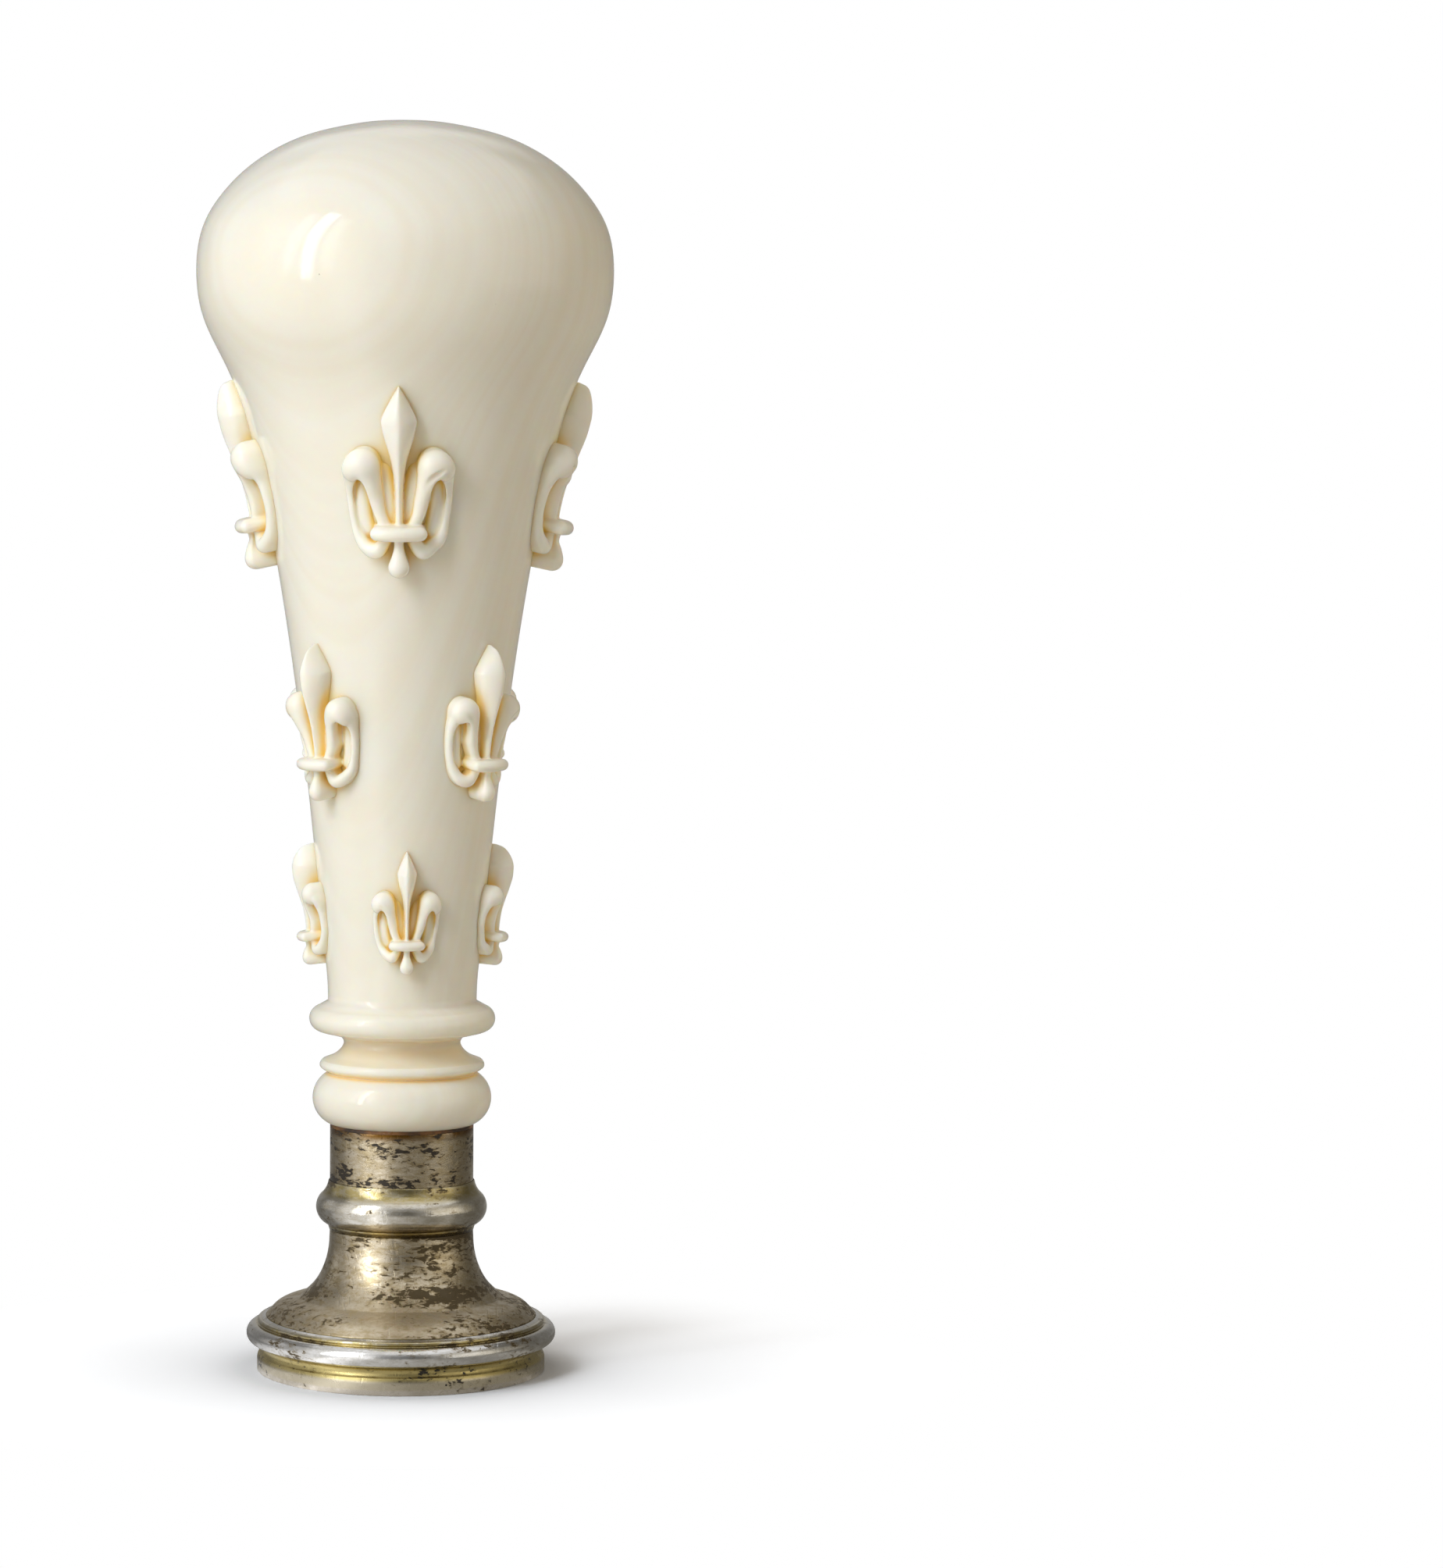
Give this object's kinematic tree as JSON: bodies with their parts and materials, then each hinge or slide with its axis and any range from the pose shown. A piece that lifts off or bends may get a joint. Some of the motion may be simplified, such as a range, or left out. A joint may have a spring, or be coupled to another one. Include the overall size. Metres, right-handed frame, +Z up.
{
  "type": "wax seal stamp",
  "caption": "Desk seal: a turned ivory-coloured handle with a mushroom knob and applied fleurs-de-lis, in a flared oval metal mount that ends in a flat die for pressing wax.",
  "frame": {"origin": "middle of the die's flat face, on which the seal stands", "axes": "+Z up the handle to the knob; X across the short way of the oval die, Y along its long way, with one fleur of the top row facing -Y"},
  "size_m": [0.0332, 0.0332, 0.1],
  "materials": {
    "ivory_body": "polished",
    "ivory_fleurs": "polished",
    "amber_cement": "satin",
    "silver_gilt": "worn and tarnished",
    "silver_die": "worn and tarnished",
    "dark_pitch": "matte"
  },
  "bodies": {
    "root": {"handle": "ivory_body", "upper_fleur_front": "ivory_fleurs", "upper_fleur_right": "ivory_fleurs", "upper_fleur_back": "ivory_fleurs", "upper_fleur_left": "ivory_fleurs", "middle_fleur_front_right": "ivory_fleurs", "middle_fleur_back_right": "ivory_fleurs", "middle_fleur_back_left": "ivory_fleurs", "middle_fleur_front_left": "ivory_fleurs", "lower_fleur_front": "ivory_fleurs", "lower_fleur_right": "ivory_fleurs", "lower_fleur_back": "ivory_fleurs", "lower_fleur_left": "ivory_fleurs", "shellac_cement": "amber_cement", "collar": "silver_gilt", "neck_bead": "silver_gilt", "flared_foot": "silver_gilt", "rim_moulding": "silver_gilt", "matrix": "silver_die", "pitch_filling": "dark_pitch"}
  },
  "joints": []
}
